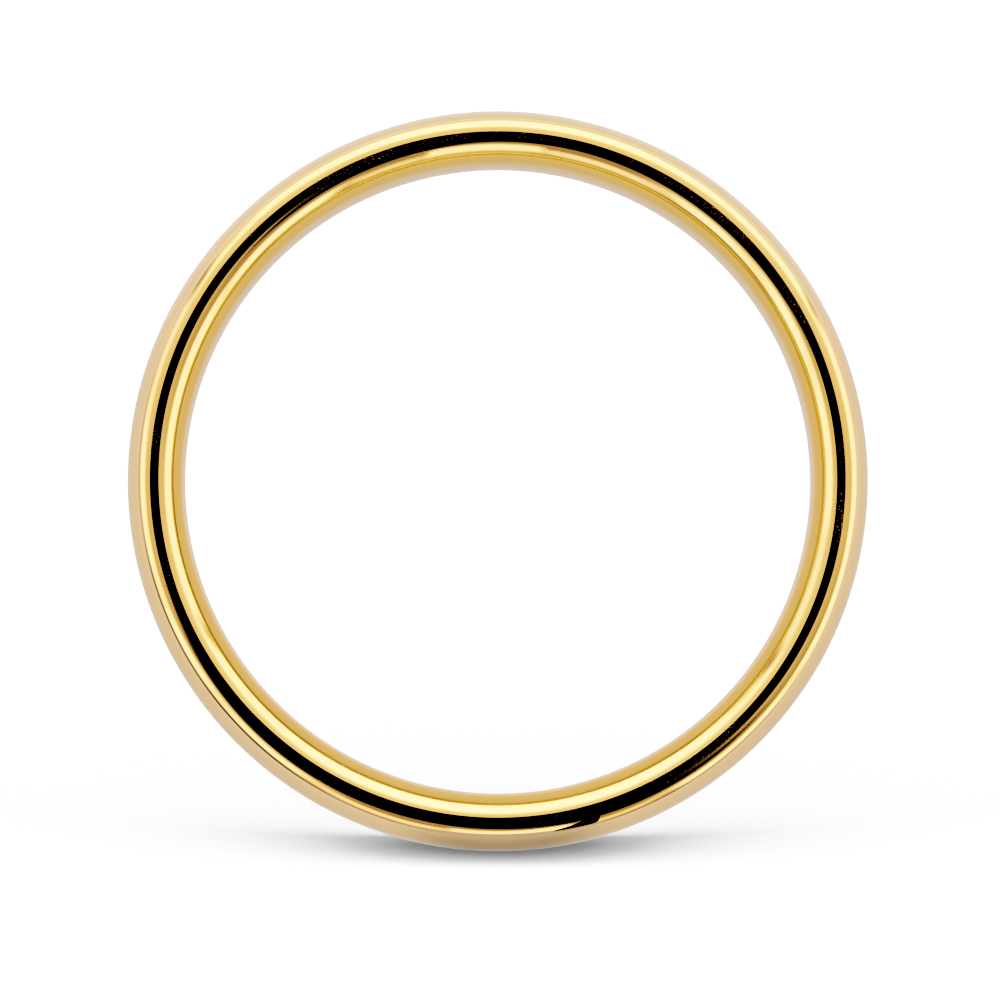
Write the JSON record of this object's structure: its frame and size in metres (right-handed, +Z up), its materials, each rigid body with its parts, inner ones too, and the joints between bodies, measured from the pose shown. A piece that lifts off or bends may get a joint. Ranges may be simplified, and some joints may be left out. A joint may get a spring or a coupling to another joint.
{
  "type": "wedding band",
  "caption": "Plain polished yellow gold wedding band with a domed outside, rounded edges and a comfort-fit finger hole.",
  "frame": {"origin": "centre of the ring: on the axis of the finger hole, at the middle of the band's width", "axes": "+Y along the axis of the finger hole, away from the viewer of the front side; +Z up as the band stands on its rim; +X to the right"},
  "size_m": [0.0206, 0.004, 0.0206],
  "materials": {
    "gold": "mirror-polished 18 carat yellow gold"
  },
  "bodies": {
    "root": {"band": "gold"}
  },
  "joints": []
}
